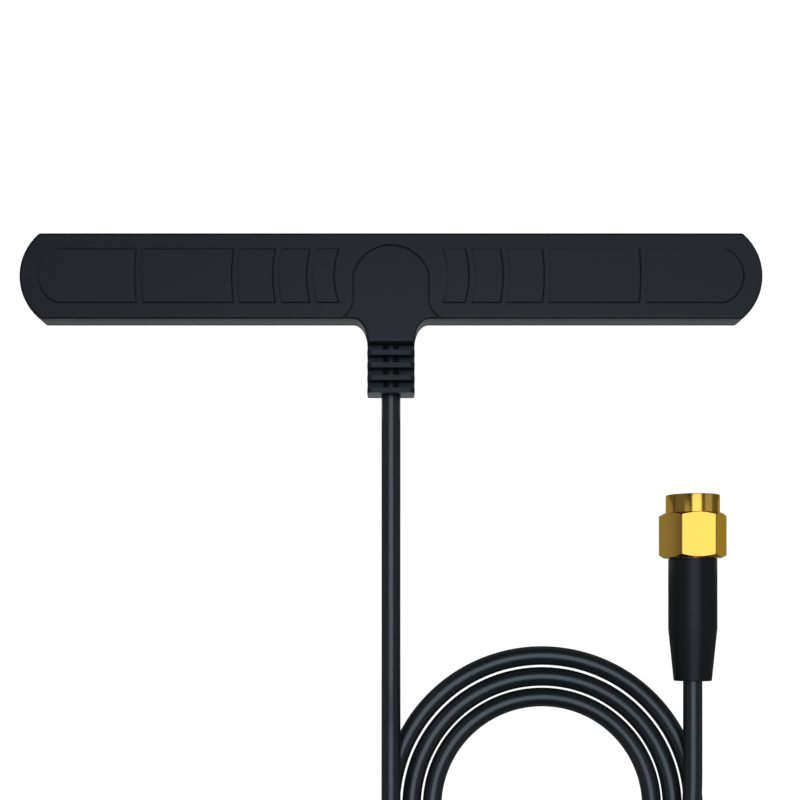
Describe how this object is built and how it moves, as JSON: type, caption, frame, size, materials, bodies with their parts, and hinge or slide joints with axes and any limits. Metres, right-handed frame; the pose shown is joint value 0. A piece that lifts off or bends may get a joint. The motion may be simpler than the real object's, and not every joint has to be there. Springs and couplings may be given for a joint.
{
  "type": "stick-on bar antenna",
  "caption": "Flat black T-shaped stick-on antenna bar with slotted strain relief, thin coiled coaxial lead and a screw-on gold coaxial plug in a tapered boot.",
  "frame": {"origin": "on the surface the antenna is stuck to, under the middle of the head's outline (bar, neck and strain relief, without the lead)", "axes": "+X along the bar, +Y across the bar away from the lead, +Z out of the antenna's front face"},
  "size_m": [0.1, 0.101, 0.008],
  "materials": {
    "abs_cover": "moulded, fine spark texture",
    "abs_boss": "moulded, fine spark texture",
    "abs_base": "moulded, plain",
    "foam": "closed-cell foam",
    "liner": "smooth film",
    "fibreglass": "satin",
    "copper": "bare metal",
    "ceramic_chip": "fired",
    "solder": "smooth",
    "cable_pvc": "extruded, satin",
    "relief_pvc": "moulded, satin",
    "braid": "woven wire",
    "ptfe": "smooth",
    "bronze": "spring temper",
    "silicone": "smooth",
    "gold_plate": "plated",
    "gold_pin": "plated",
    "gold_nut": "plated, turned",
    "nickel": "plated",
    "boot_rubber": "moulded, satin"
  },
  "bodies": {
    "antenna": {"front_cover": "abs_cover", "boss_cover": "abs_boss", "rear_cover": "abs_base", "foam_tape": "foam", "release_liner": "liner", "circuit_board": "fibreglass", "left_antenna_arm": "copper", "right_antenna_arm": "copper", "feed_pads": "copper", "matching_parts": "ceramic_chip", "solder_joints": "solder", "head_cable_jacket": "cable_pvc", "head_cable_braid": "braid", "head_cable_core": "ptfe", "head_cable_conductor": "copper", "strain_relief": "relief_pvc", "cable_lead": "cable_pvc", "cable_coil": "cable_pvc", "cable_tail": "cable_pvc", "snap_ring": "bronze", "gasket": "silicone", "plug_body": "gold_plate", "insulator": "ptfe", "centre_pin": "gold_pin", "plug_cable_conductor": "copper", "plug_cable_core": "ptfe", "plug_cable_braid": "braid", "plug_cable_jacket": "cable_pvc", "crimp_ferrule": "nickel", "cable_boot": "boot_rubber"},
    "nut": {"coupling_nut": "gold_nut"}
  },
  "joints": [
    {"name": "nut_spin", "type": "hinge", "parent": "antenna", "child": "nut", "pos_m": [0.04075, -0.03, 0.004], "axis": [0, 1, 0], "continuous": true}
  ]
}
